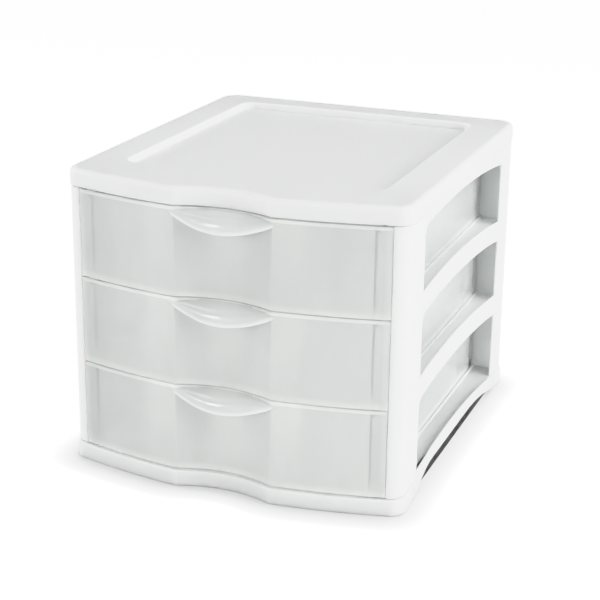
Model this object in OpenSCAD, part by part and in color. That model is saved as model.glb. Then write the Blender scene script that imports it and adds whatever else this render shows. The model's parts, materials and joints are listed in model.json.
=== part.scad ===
// Desktop drawer box with three semi-clear drawers in a white moulded frame.
// Millimetres. Origin at the middle of the footprint on the table; front is -Y, up is +Z.

/* [Overall] */
// Width of the posts, left to right
body_width = 279; // [250:1:330]
// Depth from the front creases to the back, over the posts
body_depth = 321; // [290:1:370]
// Height from the table to the top face
body_height = 244; // [215:1:290]
// Wall thickness of the frame mouldings
frame_wall = 2.2; // [1.6:0.1:3]
// Wall thickness of the drawer mouldings
drawer_wall = 1.8; // [1.2:0.1:2.4]

/* [Front curve] */
// Half distance between the two vertical creases
crease_half = 40; // [32:1:52]
// Depth of the finger scoop between the creases
scoop_depth = 8.5; // [6:0.5:11]
// Radius of the gently bowed fronts outside the creases
bow_radius = 506; // [420:1:900]
// How far past the middle the bow centre sits
bow_shift = 5; // [0:1:16]
// Radius of the front corners
corner_radius = 12; // [8:1:18]
// Radius of the rear corners
rear_radius = 16; // [8:1:22]

/* [Base and top] */
// Height of the base rail and feet
rail_height = 14.3; // [11:0.1:19]
// How far the base rail stands proud of the posts
rail_proud = 1.5; // [0.5:0.1:2.5]
// Thickness of the base rail wall behind the face of the posts
rail_wall = 2.6; // [2:0.1:4]
// End of the base rail ahead of the side windows
rail_end = 8; // [4:0.5:14]
// Height of the skirt round the top panel
skirt_height = 15.3; // [11:0.1:20]
// How far the skirt stands proud of the posts
skirt_proud = 0.5; // [0.2:0.1:1.5]
// Thickness of the skirt behind the face of the posts
skirt_wall = 2.8; // [2.4:0.1:4]
// Height and inset of the rounded top edge
top_edge = 4.2; // [2.5:0.1:6]
// Depth of the tray sunk into the top panel
recess_depth = 6.5; // [4:0.5:9]
// Side rim of the sunk tray, from the face of the posts
recess_side = 31.5; // [26:0.5:44]
// Front end of the sunk tray, measured back from the creases
recess_front = 52; // [42:1:70]
// Rear end of the sunk tray, measured forward from the back
recess_back = 28; // [22:1:40]
// Corner radius of the sunk tray
recess_radius = 12; // [7:1:20]

/* [Side frames] */
// Width of a front post beside the drawer opening
post_width = 11.2; // [8.5:0.1:17]
// Front edge of the side windows, measured back from the creases
window_front = 56.5; // [50:0.5:70]
// Rear edge of the side windows, measured forward from the back
window_back = 41.5; // [37:0.5:60]
// Radius of the arched window tops and sills
window_arch = 900; // [700:10:1500]
// Highest point of the arches, measured forward of the middle of the windows
arch_forward = 20; // [0:1:40]
// Highest point of the top window, measured down from the top face
window_drop = 20.5; // [18:0.5:26]
// How much closer together the windows are than the drawers
window_step = 2.5; // [0:0.1:4]
// Height of the band between one window and the next
window_band = 17.3; // [14:0.1:22]
// Height of the band between the base arch and the lowest window
sill_band = 11; // [8:0.5:16]
// Radius of the upper front corner of each window
window_corner = 9; // [4:1:14]
// Rise of the arch under each side
base_arch = 13.7; // [9:0.1:16]
// Length of the steep end of that arch, behind the front foot
arch_front = 44; // [30:1:60]
// Length of the shallow end of that arch, ahead of the rear foot
arch_rear = 95; // [70:1:110]
// End of that arch behind the side windows
arch_back = 12; // [6:1:16]
// Width of a drawer ledge, inwards from the outer face
ledge_width = 35; // [29:1:42]
// Ledge top above the line between two drawers
ledge_rise = 1.6; // [1:0.1:2.4]
// Thickness of a guide rib beside a drawer
guide_wall = 1.5; // [1:0.1:2.5]
// Height of a guide rib above its ledge
guide_rise = 2; // [1:0.5:5]
// Gap between a guide rib and the drawer box
guide_gap = 1; // [0.6:0.1:2]
// Width of the rear post, inwards from the outer face
flange_width = 24; // [18:0.5:30]
// Depth of the rear post, forward from the back
flange_depth = 24.5; // [18:0.5:27]

/* [Drawers] */
// Gap between a drawer front and whatever is above or below it
front_gap = 0.5; // [0.4:0.05:0.9]
// Side gap between a drawer front and each post
side_gap = 0.8; // [0.5:0.05:1.5]
// How far a drawer front sits behind the face of the posts
front_setback = 0.6; // [0.2:0.1:2]
// Wall thickness of a drawer front
front_wall = 2.2; // [1.6:0.1:3]
// How much narrower the drawer box is than its front, at each side
box_inset = 11.5; // [9:0.5:17]
// Gap between the drawer box and the rear posts
box_back = 7; // [5:0.5:30]
// Height of the bead along the top of a drawer front
bead_height = 2.5; // [1.5:0.1:4]
// Depth of the returns at both ends of a drawer front
return_depth = 9; // [5:0.5:12]
// Gap between a drawer floor and its ledges
floor_gap = 0.3; // [0.2:0.05:0.6]
// Box wall top below the top of the drawer front
wall_drop = 3.5; // [2.5:0.1:8]
// Width of the rim round the top of the box
box_rim = 2.5; // [1.5:0.1:3.5]

/* [Handle] */
// How far the lip bulges in front of the crease line
lip_bulge = 7.5; // [5:0.5:11]
// Downward slope of the top of the lip
lip_slope = 18; // [10:1:24]
// Lowest point of the lip below the top of the drawer front
lip_drop = 15.5; // [12:0.5:21]
// Lip edge at the creases below the top of the drawer front
lip_end = 4.5; // [3.5:0.5:7]
// Wall thickness of the lip
lip_wall = 1.8; // [1.4:0.1:2.6]

/* [Hidden] */
$fn = 96;
big_fn = 360;
frame_colour = [0.93, 0.94, 0.94];
drawer_colour = [0.74, 0.80, 0.80, 0.75];
drawer_count = 3;
// overlap that joins the walls of one moulding
weld = 0.2;
// overrun of a cut past what it cuts
past = 1;
// longer than the box, for cuts that take all of one side
far = 400;
// the middle of the footprint counts the lips in front and the proud rail behind
front_y = (lip_bulge - rail_proud - body_depth) / 2;
back_y = front_y + body_depth;
mid_y = (front_y + back_y) / 2;
side_x = body_width / 2;
opening_half = side_x - post_width;
front_half = opening_half - side_gap;
box_half = front_half - box_inset;
recess_half = side_x - recess_side;
// front curve
scoop_r = (crease_half * crease_half + scoop_depth * scoop_depth) / (2 * scoop_depth);
scoop_y = front_y + scoop_depth - scoop_r;
bow_y = front_y + sqrt(bow_radius * bow_radius - pow(crease_half + bow_shift, 2));
corner_x = side_x - corner_radius;
corner_y = bow_y - sqrt(pow(bow_radius - corner_radius, 2) - pow(corner_x + bow_shift, 2));
corner_turn = (corner_x + bow_shift) / (bow_radius - corner_radius);
edge_y = bow_y - sqrt(bow_radius * bow_radius - pow(opening_half + bow_shift, 2));
// heights of the drawer bays
opening_floor = rail_height;
opening_top = body_height - skirt_height;
pitch = (opening_top - opening_floor) / drawer_count;
window_pitch = pitch - window_step;
// places along the side
window_y0 = front_y + window_front;
window_y1 = back_y - window_back;
arch_y = (window_y0 + window_y1) / 2 - arch_forward;
foot_y0 = window_y0 - rail_end;
arch_y1 = window_y1 + arch_back;
foot_y1 = arch_y1;
foot_fade = 14;
flange_y = back_y - flange_depth;
ledge_y = edge_y + return_depth + 3;
box_end = flange_y - box_back;

// Outline seen from above, moved inwards by o.
module footprint(o = 0) {
  difference() {
    for (s = [0, 1]) mirror([s, 0]) half_plan(o);
    translate([0, scoop_y]) circle(r = scoop_r + o, $fn = big_fn);
  }
}

// Right half of the outline: bowed front, front corner, side and rear corner.
module half_plan(o) {
  x_meet = -bow_shift + (bow_radius - o) * corner_turn;
  rear_x = side_x - rear_radius;
  rear_y = back_y - rear_radius;
  intersection() {
    translate([-bow_shift, bow_y]) circle(r = bow_radius - o, $fn = big_fn);
    translate([-past, -far]) square([x_meet + past, far + corner_y]);
  }
  translate([corner_x, corner_y]) circle(r = corner_radius - o);
  translate([-past, corner_y]) square([side_x - o + past, rear_y - corner_y]);
  translate([-past, corner_y]) square([rear_x + past, back_y - o - corner_y]);
  translate([rear_x, rear_y]) circle(r = rear_radius - o);
}

// The outline moved inwards by o, raised from z0 to z1.
module slab(o, z0, z1) {
  translate([0, 0, z0]) linear_extrude(height = z1 - z0) footprint(o);
}

// Upright wall that follows the outline, between the offsets o and o + t.
module ring(o, t, z0, z1) {
  translate([0, 0, z0]) linear_extrude(height = z1 - z0) difference() {
    footprint(o);
    footprint(o + t);
  }
}

// Block between two corners.
module block(x0, x1, y0, y1, z0, z1) {
  translate([x0, y0, z0]) cube([x1 - x0, y1 - y0, z1 - z0]);
}

// A shape drawn in Y and Z, run along X from x0 to x1.
module across(x0, x1) {
  translate([x0, 0, 0]) rotate([90, 0, 90]) linear_extrude(height = x1 - x0) children();
}

// The sunk tray's space, grown outwards by o.
module tray(o, z0, z1) {
  w = recess_half + o;
  y0 = front_y + recess_front - o;
  y1 = back_y - recess_back + o;
  r = recess_radius + o;
  translate([0, 0, z0]) linear_extrude(height = z1 - z0) {
    translate([-w + r, y0]) square([2 * (w - r), y1 - y0]);
    translate([-w, y0 + r]) square([2 * w, y1 - y0 - 2 * r]);
    for (x = [-w + r, w - r], y = [y0 + r, y1 - r]) translate([x, y]) circle(r = r);
  }
}

// One tapered band of the top edge: the skirt's outline shrunk from inset a to inset b.
module edge_band(a, b, z0, z1) {
  sx = side_x + skirt_proud;
  sy = body_depth / 2 + skirt_proud;
  translate([0, mid_y, z0])
    linear_extrude(height = z1 - z0, slices = 1, scale = [(sx - b) / (sx - a), (sy - b) / (sy - a)])
      scale([1 - a / sx, 1 - a / sy]) translate([0, -mid_y]) footprint(-skirt_proud);
}

// Top panel: skirt, rounded edge and sunk tray.
module top_panel() {
  rim = body_height - top_edge;
  shoulder = 0.62 * top_edge;
  inset = 0.22 * top_edge;
  ceiling = body_height - frame_wall;
  tray_floor = body_height - recess_depth;
  color(frame_colour) {
    difference() {
      union() {
        slab(-skirt_proud, opening_top, rim);
        edge_band(0, inset, rim, rim + shoulder);
        edge_band(inset, top_edge, rim + shoulder, body_height);
      }
      slab(skirt_wall, opening_top - past, ceiling);
      tray(0, ceiling - past, body_height + past);
    }
    difference() {
      tray(frame_wall, tray_floor - frame_wall, ceiling);
      tray(0, tray_floor, body_height + past);
    }
  }
}

// Base panel: rail and feet that wrap the corners, and the floor between the side frames.
module base_panel() {
  proud_x = side_x + rail_proud + past;
  color(frame_colour) {
    intersection() {
      ring(-rail_proud, rail_proud + rail_wall, 0, rail_height);
      union() {
        block(-far, far, -far, foot_y0, 0, rail_height);
        block(-far, far, foot_y1, far, 0, rail_height);
      }
      // the proud face fades into the side face behind the corner
      translate([0, 0, -past]) linear_extrude(height = rail_height + 2 * past) {
        for (s = [0, 1]) mirror([s, 0]) polygon([
          [-past, -far], [far, -far], [far, corner_y], [proud_x, corner_y],
          [side_x, foot_y0], [side_x, foot_y1], [proud_x, foot_y1 + foot_fade],
          [far, foot_y1 + foot_fade], [far, far], [-past, far]
        ]);
      }
    }
    slab(frame_wall, rail_height - frame_wall, rail_height);
  }
}

// Window outline in Y and Z: arched sill, arched top, rounded upper front corner.
module window(top, sill) {
  r = window_corner;
  top_z = top - window_arch;
  corner_z = top_z + sqrt(pow(window_arch - r, 2) - pow(window_y0 + r - arch_y, 2));
  meet_y = arch_y + window_arch * (window_y0 + r - arch_y) / (window_arch - r);
  difference() {
    union() {
      intersection() {
        translate([arch_y, top_z]) circle(r = window_arch, $fn = 2 * big_fn);
        translate([meet_y, 0]) square([window_y1 - meet_y, body_height]);
      }
      translate([window_y0 + r, corner_z]) circle(r = r);
      translate([window_y0, 0]) square([meet_y - window_y0 + weld, corner_z]);
    }
    translate([arch_y, sill - window_arch]) circle(r = window_arch, $fn = 2 * big_fn);
  }
}

// Arch under the side in Y and Z, steeper at the front foot. Its ends pass below the table.
module under_arch() {
  rise = base_arch + past;
  steep_y = window_y0 + arch_front;
  shallow_y = arch_y1 - arch_rear;
  steep_r = (pow(arch_front, 2) + rise * rise) / (2 * rise);
  shallow_r = (pow(arch_rear, 2) + rise * rise) / (2 * rise);
  intersection() {
    translate([steep_y, base_arch - steep_r]) circle(r = steep_r, $fn = big_fn);
    translate([window_y0, -past]) square([arch_front, rise]);
  }
  translate([steep_y - weld, -past]) square([shallow_y - steep_y + 2 * weld, rise]);
  intersection() {
    translate([shallow_y, base_arch - shallow_r]) circle(r = shallow_r, $fn = big_fn);
    translate([shallow_y, -past]) square([arch_rear, rise]);
  }
}

// Right side frame: front post, three windows, three ledges, rear post.
module side_frame() {
  inner = side_x - frame_wall;
  rear_x = side_x - flange_width;
  top_window = body_height - window_drop;
  difference() {
    union() {
      intersection() {
        ring(0, frame_wall, rail_height, opening_top);
        union() {
          block(opening_half, far, -far, mid_y, 0, body_height);
          block(rear_x, far, mid_y - weld, far, 0, body_height);
        }
      }
      block(inner, side_x, foot_y0, foot_y1, 0, rail_height + weld);
    }
    for (i = [0:drawer_count - 1]) {
      top = top_window - i * window_pitch;
      sill = i < drawer_count - 1 ? top - window_pitch + window_band : base_arch + sill_band;
      across(inner - past, side_x + past) window(top, sill);
    }
    across(inner - past, side_x + past) under_arch();
  }
  // inner wall and rear web of the hollow front post
  intersection() {
    slab(frame_wall / 2, rail_height, opening_top);
    block(opening_half, opening_half + frame_wall, -far, window_y0, 0, body_height);
  }
  block(opening_half, inner + weld, window_y0 - frame_wall, window_y0, rail_height, opening_top);
  // front face and inner wall of the rear post
  block(rear_x, inner + weld, flange_y, flange_y + frame_wall, rail_height, opening_top);
  block(rear_x, rear_x + frame_wall, flange_y, back_y - weld, rail_height, opening_top);
  // drawer ledges, each with a guide rib beside the drawer
  for (i = [0:drawer_count - 1]) {
    line = opening_floor + i * pitch;
    top = line + ledge_rise;
    low = i == 0 ? line : top - frame_wall;
    guide_x = box_half + guide_gap;
    block(side_x - ledge_width, inner + weld, ledge_y, flange_y + weld, low, top);
    block(guide_x, guide_x + guide_wall, window_y0, flange_y + weld, low, top + guide_rise);
  }
}

module side_frame_right() {
  color(frame_colour) side_frame();
}

module side_frame_left() {
  color(frame_colour) mirror([1, 0, 0]) side_frame();
}

// Back panel between the rear posts.
module back_panel() {
  w = side_x - flange_width;
  color(frame_colour) block(-w, w, back_y - frame_wall, back_y, rail_height, opening_top);
}

// Curved finger lip: sloping top, turned-down front with a smile-shaped edge.
module lip(top) {
  bulge_r = (crease_half * crease_half + lip_bulge * lip_bulge) / (2 * lip_bulge);
  bulge_y = front_y - lip_bulge + bulge_r;
  smile = lip_drop - lip_end;
  smile_r = (crease_half * crease_half + smile * smile) / (2 * smile);
  low = top - lip_drop - past;
  hinge_y = front_y + scoop_depth - past;
  difference() {
    intersection() {
      translate([0, bulge_y, low]) cylinder(r = bulge_r, h = top - low, $fn = big_fn);
      block(-crease_half - weld, crease_half + weld, -far, hinge_y + 2 * past, low, top);
      translate([0, 0, top - lip_drop + smile_r]) rotate([90, 0, 0])
        cylinder(r = smile_r, h = far, $fn = big_fn);
      below_slope(hinge_y, top);
    }
    // hollow under the lip for the fingers
    intersection() {
      translate([0, bulge_y, low - past])
        cylinder(r = bulge_r - lip_wall, h = top - low + 2 * past, $fn = big_fn);
      below_slope(hinge_y, top - lip_wall);
    }
  }
}

// Everything under the lip's sloping top, which passes through y and z.
module below_slope(y, z) {
  translate([0, y, z]) rotate([lip_slope, 0, 0])
    block(-2 * crease_half, 2 * crease_half, -far / 2, far / 8, -far / 4, 0);
}

// Drawer: curved front with bead, returns and lip, and the box behind it.
module drawer(level) {
  line = opening_floor + level * pitch;
  z0 = line + front_gap;
  z1 = line + pitch - front_gap;
  w = front_half;
  o = front_setback;
  floor_z = line + ledge_rise + floor_gap;
  wall_top = z1 - wall_drop;
  color(drawer_colour) {
    intersection() {
      union() {
        ring(o, front_wall, z0, z1);
        ring(0, o + front_wall, z1 - bead_height, z1);
      }
      block(-w, w, -far, mid_y, z0, z1);
    }
    // returns at both ends of the front
    intersection() {
      slab(o + weld, z0, z1);
      difference() {
        block(-w, w, -far, edge_y + return_depth, z0, z1);
        block(-w + front_wall, w - front_wall, -far, far, z0 - past, z1 + past);
      }
    }
    // floor and walls of the box
    difference() {
      intersection() {
        slab(o + front_wall - weld, floor_z, wall_top);
        block(-box_half, box_half, -far, box_end, floor_z, wall_top);
      }
      intersection() {
        slab(o + front_wall, floor_z + drawer_wall, z1);
        block(-box_half + drawer_wall, box_half - drawer_wall, -far, box_end - drawer_wall,
              floor_z, z1);
      }
    }
    // rim round the top of the box
    difference() {
      block(-box_half - box_rim, box_half + box_rim, ledge_y, box_end + box_rim,
            wall_top - drawer_wall, wall_top);
      block(-box_half + weld, box_half - weld, -far, box_end - weld, floor_z, z1);
    }
    difference() {
      lip(z1);
      slab(o + weld, line, z1 + past);
    }
  }
}

module drawer_bottom() { drawer(0); }
module drawer_middle() { drawer(1); }
module drawer_top() { drawer(2); }

top_panel();
base_panel();
side_frame_left();
side_frame_right();
back_panel();
drawer_top();
drawer_middle();
drawer_bottom();
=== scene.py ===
"""Stackable drawer box: a white moulded frame with three semi-clear drawers.

Lengths are in metres. The front faces -Y and up is +Z. Outlines seen from above run
counter-clockwise, so that inwards is always to the left of the way they are drawn.
"""

import json
import math

import bmesh
import bpy
from mathutils import Euler, Matrix, Vector


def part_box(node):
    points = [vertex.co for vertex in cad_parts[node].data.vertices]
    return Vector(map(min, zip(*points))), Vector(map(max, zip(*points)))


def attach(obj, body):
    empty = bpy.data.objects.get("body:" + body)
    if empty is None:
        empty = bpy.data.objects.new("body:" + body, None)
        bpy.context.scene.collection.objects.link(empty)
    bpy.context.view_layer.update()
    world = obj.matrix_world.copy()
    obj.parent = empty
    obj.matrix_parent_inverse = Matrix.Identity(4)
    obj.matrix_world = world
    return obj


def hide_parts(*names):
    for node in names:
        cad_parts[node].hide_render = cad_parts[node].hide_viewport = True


bl_info = {
    "name": "Stackable drawer box",
    "version": (1, 0, 0),
    "blender": (4, 5, 0),
    "location": "View3D > Sidebar > Drawer box",
    "description": "Models and finishes a white drawer box with semi-clear drawers",
    "category": "Add Mesh",
}

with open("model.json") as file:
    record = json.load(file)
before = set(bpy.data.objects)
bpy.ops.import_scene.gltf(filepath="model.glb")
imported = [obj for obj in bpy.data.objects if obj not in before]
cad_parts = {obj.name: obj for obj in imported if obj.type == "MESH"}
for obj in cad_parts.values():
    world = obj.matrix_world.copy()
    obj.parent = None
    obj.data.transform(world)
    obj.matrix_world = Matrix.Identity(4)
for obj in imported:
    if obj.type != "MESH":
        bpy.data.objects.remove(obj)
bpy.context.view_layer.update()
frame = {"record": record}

SIDE_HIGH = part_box("side_frame_right")[1]
BASE_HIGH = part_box("base_panel")[1]
TOP_LOW, TOP_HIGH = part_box("top_panel")
BACK_LOW, BACK_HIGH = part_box("back_panel")
DRAWERS = ("drawer_bottom", "drawer_middle", "drawer_top")
NODE_BODIES = {
    node: body
    for body, nodes in frame["record"]["behaviour"]["bodies"].items()
    for node in nodes
}
MM = 0.001
TINY = 2e-5  # two places nearer than this are one place
BEVEL_ANGLE = math.radians(50)  # edges sharper than this are rounded
SMOOTH_ANGLE = math.radians(38)  # edges flatter than this are shaded as one surface

PLASTIC_IOR = 1.49
WHITE_SKIN = {"Tone": 0.03, "Roughness": 0.42, "Roughness spread": 0.08, "Grain depth": 0.12}
CLEAR_SKIN = {"Tone": 0.16, "Roughness spread": 0.1, "Grain depth": 0.15}
CLEAR_COAT, CLEAR_COAT_ROUGHNESS = 0.5, 0.12
FLOW_SCALE = 24.0  # of the slow bands in the plastic
FLOW_DRAWN = (1.0, 0.5, 0.3)  # the bands are drawn out along Y and more so along Z
NOISE_DETAIL = 2.0
SKIN_HEIGHT = 0.1 * MM  # height of the fine skin

# the mesh attribute that says how strongly each place of a drawer glows, and its value there;
# the glow is painted light: it stands in for light caught in the bead, the lip's rim, the ends
# and the lower edges and for their highlights, and the box's lower edge glows most to lift the
# shade in the gap above each ledge
PAINTED_GLOW_ATTRIBUTE = "solid_edge"
LIP_RIM_PAINTED_GLOW = 1.0
BEAD_TOP_PAINTED_GLOW = 0.2
BEAD_PAINTED_GLOW = 1.0
END_PAINTED_GLOW = 0.7
FRONT_FOOT_PAINTED_GLOW = 0.35
BOX_FOOT_PAINTED_GLOW = 1.5
LIP_RIM = 0.6  # part of the lip's wall that counts as its rim, where the painted glow goes

# the painted soft shadow is taken with the floor's normal tipped backwards, so it is deepest in
# front
SHADOW_TIP = (0.05, 0.5, 0.86)
SHADOW_SAMPLES = 16
FLOOR_ROUGHNESS = 0.9
# name, place, width and the setting that holds the power of each light
LIGHTS = (
    ("key_light", (-1.3, -2.3, 1.0), 0.55, "key_power"),
    ("right_light", (2.3, -0.2, 1.4), 2.6, "right_power"),
    ("top_light", (-1.45, -0.3, 2.3), 0.6, "top_power"),
    ("left_light", (-2.35, -0.15, 0.75), 1.7, "left_power"),
)
BRIGHTEST = 3.0  # light that is shown as pure white
SHOULDER = (  # light and how bright it is shown
    (0.3, 0.3),
    (0.6, 0.6),
    (0.75, 0.72),
    (0.9, 0.81),
    (1.1, 0.86),
    (1.5, 0.9),
    (2.0, 0.935),
)
CAMERA_PLACE = (0.44366, -1.12055, 0.53937)
CAMERA_TURNS = (21.5845, 18.506, 0.69495)  # yaw, pitch and roll in degrees
SENSOR_WIDTH = 36  # millimetres


def number(name, description, default, **more):
    """A property for one number."""
    return bpy.props.FloatProperty(name=name, description=description, default=default, **more)


def length(name, description, millimetres):
    """A property for one length, given in millimetres and kept in metres."""
    return number(
        name, description, millimetres * MM, unit="LENGTH", subtype="DISTANCE", precision=4
    )


def share(name, description, default):
    """A property for a part of the whole, from 0 to 1."""
    return number(name, description, default, min=0, max=1)


def power(name, description, watts):
    """A property for the power of one light."""
    return number(name, description, watts, unit="POWER")


def colour(name, description, default):
    """A property for one linear colour."""
    return bpy.props.FloatVectorProperty(
        name=name,
        description=description,
        default=default,
        subtype="COLOR",
        size=3,
        min=0,
        soft_max=1,
    )
# A floor that looks white but throws little light onto the box, with a painted soft shadow.


class BoxPlanSettings(bpy.types.PropertyGroup):
    """The outline of the box seen from above."""

    depth: length("Depth", "From the front creases to the back of the posts", 321)
    crease_half: length("Crease", "Half distance between the two front creases", 40)
    scoop_depth: length("Scoop depth", "Depth of the scoop between the creases", 8.5)
    bow_radius: length("Bow radius", "Radius of the bowed fronts", 506)
    bow_shift: length("Bow shift", "How far past the middle the bow centre sits", 5)
    corner_radius: length("Front corner", "Radius of the front corners", 12)
    rear_radius: length("Rear corner", "Radius of the rear corners", 16)


class BoxFrameSettings(bpy.types.PropertyGroup):
    """The white frame's own sizes and colours."""

    wall: length("Wall", "Thickness of the frame mouldings", 2.2)
    soft_edge: length("Soft edge", "Rounding of the moulded edges", 0.8)
    seam_gap: length("Seam gap", "Shadow gap where the posts meet the top and the base", 1.1)
    seam_edge: length("Seam edge", "Rounding of the edges that meet at a seam", 0.4)
    skirt_proud: length("Skirt proud", "How far the skirt stands proud of the posts", 0.5)
    skirt_wall: length("Skirt wall", "Thickness of the skirt", 3.3)
    top_edge: length("Top edge", "Rounding of the top panel's edge", 4.2)
    tray_half: length("Tray half width", "Half width of the sunk tray", 108)
    tray_front: length("Tray front", "Front of the tray behind the creases", 52)
    tray_back: length("Tray back", "Rear of the tray ahead of the back", 28)
    tray_radius: length("Tray corner", "Corner radius of the sunk tray", 12)
    tray_depth: length("Tray depth", "Depth of the sunk tray", 6.5)
    tray_rim: length("Tray rim", "Rounding of the tray's rim", 0.8)
    tray_fillet: length("Tray fillet", "Rounding where the tray wall meets its floor", 1)
    rail_proud: length("Rail proud", "How far the base rail stands proud of the posts", 1.5)
    foot_edge: length("Foot edge", "Rounding of the base's lower edge", 1.4)
    rail_wall: length("Rail wall", "Thickness of the base rail", 4.1)
    rail_end: length("Rail end", "End of the base rail ahead of the windows", 8)
    opening_half: length("Opening half", "Half width of the drawer opening", 127.9)
    window_front: length("Window front", "Front edge of the windows behind the creases", 56.5)
    window_back: length("Window back", "Rear edge of the windows ahead of the back", 41.5)
    window_arch: length("Window arch", "Radius of the arched window tops and sills", 900)
    window_corner: length("Window corner", "Radius of the upper front corners", 9)
    arch_forward: length("Arch forward", "Highest point of the arches ahead of mid window", 20)
    window_drop: length("Window drop", "Top window's highest point below the top face", 20.5)
    window_step: length("Window step", "How much closer the windows are than the drawers", 2.5)
    window_band: length("Window band", "Height of the band between two windows", 17.3)
    sill_band: length("Sill band", "Height of the band over the arch under the side", 11)
    base_arch: length("Base arch", "Rise of the arch under each side", 13.7)
    arch_front: length("Arch front", "Length of the arch's steep front end", 44)
    arch_rear: length("Arch rear", "Length of the arch's shallow rear end", 95)
    arch_back: length("Arch back", "End of the arch behind the windows", 12)
    ledge_width: length("Ledge width", "Width of a drawer ledge from the outer face", 35)
    ledge_rise: length("Ledge rise", "Ledge top above the line between two drawers", 1.6)
    ledge_front: length("Ledge front", "Front end of the ledges behind the creases", 27.9)
    guide_place: length("Guide place", "Inner face of the guide ribs from the middle", 117)
    guide_wall: length("Guide wall", "Thickness of a guide rib", 1.5)
    guide_rise: length("Guide rise", "Height of a guide rib above its ledge", 2)
    flange_width: length("Rear post width", "Width of the rear post", 24)
    flange_depth: length("Rear post depth", "Depth of the rear post", 24.5)
    glow_depth: length("Glow depth", "How deep light reaches into the white plastic", 7)
    plastic: colour("Plastic", "Colour of the white plastic", (0.89, 0.90, 0.90))


class BoxDrawerSettings(bpy.types.PropertyGroup):
    """The semi-clear drawers' own sizes and colours."""

    setback: length("Setback", "How far the front sits behind the face of the posts", 0.6)
    front_wall: length("Front wall", "Thickness of the drawer front", 2.2)
    bead: length("Bead", "Height of the bead along the top of the front", 2.5)
    bead_round: length("Bead round", "Rounding of the upper edge of the bead", 1.3)
    return_depth: length("Return", "Depth of the returns at both ends of the front", 9)
    box_half: length("Box half", "Half width of the box behind the front", 116)
    box_wall: length("Box wall", "Thickness of the box walls and floor", 1.8)
    box_corner: length("Box corner", "Radius of the rear corners of the box", 2)
    rim: length("Rim", "Width of the rim round the top of the box", 2.5)
    floor_rise: length("Floor rise", "Box floor above the bottom of the front", 1.4)
    wall_drop: length("Wall drop", "Box wall below the top of the front", 3.5)
    lip_bulge: length("Lip bulge", "How far the lip bulges ahead of the creases", 7.5)
    lip_drop: length("Lip drop", "Lowest point of the lip below the top of the front", 15.5)
    lip_wall: length("Lip wall", "Thickness of the lip", 1.8)
    lip_round: length("Lip round", "Rounding of the lip's front rim", 9)
    lip_run: length("Lip run", "How far the ends of the lip run past the creases", 10)
    lip_slope: number(
        "Lip slope", "Downward slope of the top of the lip", math.radians(18), subtype="ANGLE"
    )
    soft_edge: length("Soft edge", "Rounding of the drawer front's edges", 0.28)
    # how far up the painted glow of the lower edges fades
    painted_glow_fade: length("Painted glow fade", "How far light from the lower edges reaches up", 6)
    plastic: colour("Plastic", "Tint of the semi-clear plastic", (0.95, 0.967, 0.96))
    # colour of the painted glow on the drawers' edges; it stands in for light caught in the bead
    # and the lip's rim, and for their highlights
    painted_edge_glow: colour(
        "Edge light", "Light that gathers in the bead and the lip's rim", (0.12, 0.121, 0.115)
    )
    clearness: share("Clearness", "Share of light let through", 0.6)
    frosting: share("Frosting", "Roughness of the semi-clear walls", 0.2)


class BoxStudioSettings(bpy.types.PropertyGroup):
    """The floor, the lights and the camera."""

    floor_colour: colour("Floor", "Colour of the floor", (0.8, 0.8, 0.8))
    floor_size: length("Floor size", "Width of the floor", 30000)
    sky: number("Sky", "Strength of the light from the horizon", 0.68)
    sky_top: number("Sky top", "Strength of the light from straight above", 0.02)
    # the soft shadow at the foot of the box is painted into the floor's colour and glow
    shadow_reach: length("Shadow reach", "Width of the soft shadow at the foot of the box", 24)
    shadow_fall: number("Shadow fall", "How steeply the soft shadow fades", 4.6)
    shadow_colour: colour("Shadow", "Colour of the floor right beside the box", (0.4, 0.4, 0.4))
    floor_glow: colour(
        "Floor glow", "Brightness of the floor where the camera sees it", (2.4, 2.4, 2.4)
    )
    shadow_glow: colour("Shadow glow", "The same in the darkest shadow", (0.28, 0.28, 0.28))
    key_power: power("Key", "Power of the light in front", 18)
    right_power: power("Right", "Power of the large light at the right", 104)
    left_power: power("Left", "Power of the large light at the left", 38)
    top_power: power("Top", "Power of the small light above", 7)
    lens: number("Lens", "Focal length of the camera in millimetres", 90.53)
    shift: number("Shift", "Vertical shift of the camera", -0.05)


# ---------------------------------------------------------------- outlines from above


def arc(cx, cy, radius, start, end, steps):
    """One stretch of an outline: a circle's part between two angles, or a point if no steps."""
    return (cx, cy, radius, start, end, steps)


def point(x, y):
    """A corner of an outline, joined to its neighbours by straight lines."""
    return arc(x, y, 0.0, 0.0, 0.0, 0)


def mirrored(stretches):
    """The same stretches on the other side of the middle plane, drawn on in the same turn."""
    return [
        arc(-cx, cy, radius, math.pi - end, math.pi - start, steps)
        for cx, cy, radius, start, end, steps in reversed(stretches)
    ]


def backwards(stretches):
    """The same stretches drawn the other way."""
    return [
        arc(cx, cy, radius, end, start, steps)
        for cx, cy, radius, start, end, steps in reversed(stretches)
    ]


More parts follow.
